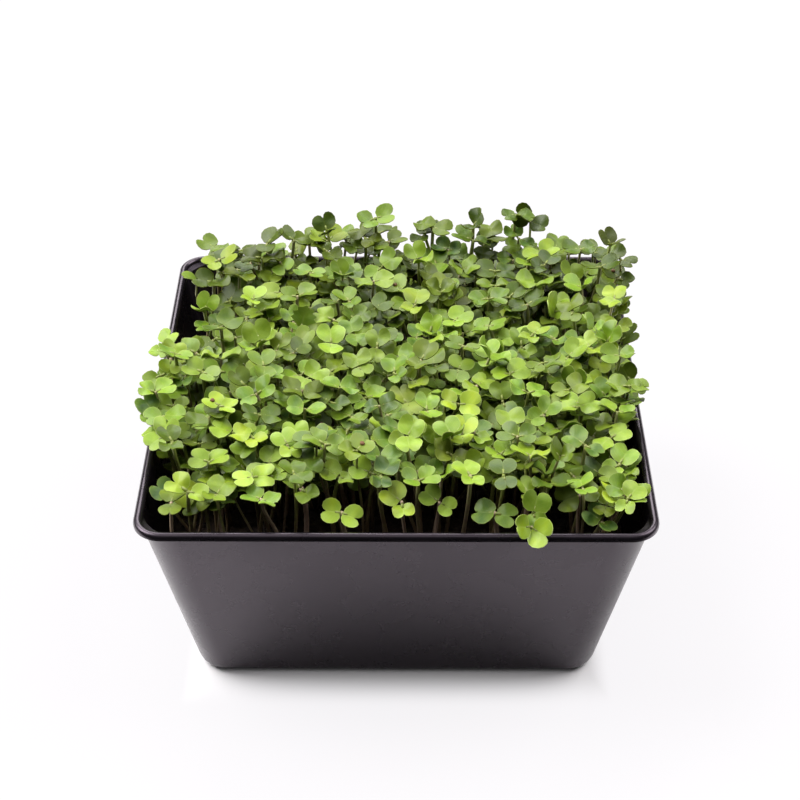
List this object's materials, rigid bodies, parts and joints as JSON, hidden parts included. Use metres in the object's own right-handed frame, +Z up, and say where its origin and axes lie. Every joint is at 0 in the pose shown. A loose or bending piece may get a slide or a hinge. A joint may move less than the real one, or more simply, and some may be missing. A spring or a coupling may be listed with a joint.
{
  "type": "microgreens tray",
  "caption": "Tapered square tray of black plastic filled with soil and densely grown with notched-leaf microgreens that rise above its rolled rim.",
  "frame": {"origin": "middle of the tray's flat underside, on the surface that it stands on", "axes": "+Z up; -Y the tray's front, where a sprig hangs over the rim; +X to the right as seen from the front"},
  "size_m": [0.1963, 0.1889, 0.1137],
  "materials": {
    "tray_plastic": "satin",
    "soil": "matte",
    "greens": "satin"
  },
  "bodies": {
    "root": {"tray": "tray_plastic", "soil": "soil", "seedlings_01": "greens", "seedlings_02": "greens", "seedlings_03": "greens", "seedlings_04": "greens", "seedlings_05": "greens", "seedlings_06": "greens", "seedlings_07": "greens", "seedlings_08": "greens", "seedlings_09": "greens", "seedlings_10": "greens", "seedlings_11": "greens", "seedlings_12": "greens", "seedlings_13": "greens", "seedlings_14": "greens", "seedlings_15": "greens", "seedlings_16": "greens", "seedlings_17": "greens", "seedlings_18": "greens", "seedlings_19": "greens", "seedlings_20": "greens", "seedlings_21": "greens", "seedlings_22": "greens", "seedlings_23": "greens", "seedlings_24": "greens", "seedlings_25": "greens", "seedlings_26": "greens", "seedlings_27": "greens", "seedlings_28": "greens", "seedlings_29": "greens", "seedlings_30": "greens", "seedlings_31": "greens", "seedlings_32": "greens", "seedlings_33": "greens", "seedlings_34": "greens", "seedlings_35": "greens", "seedlings_36": "greens"}
  },
  "joints": []
}
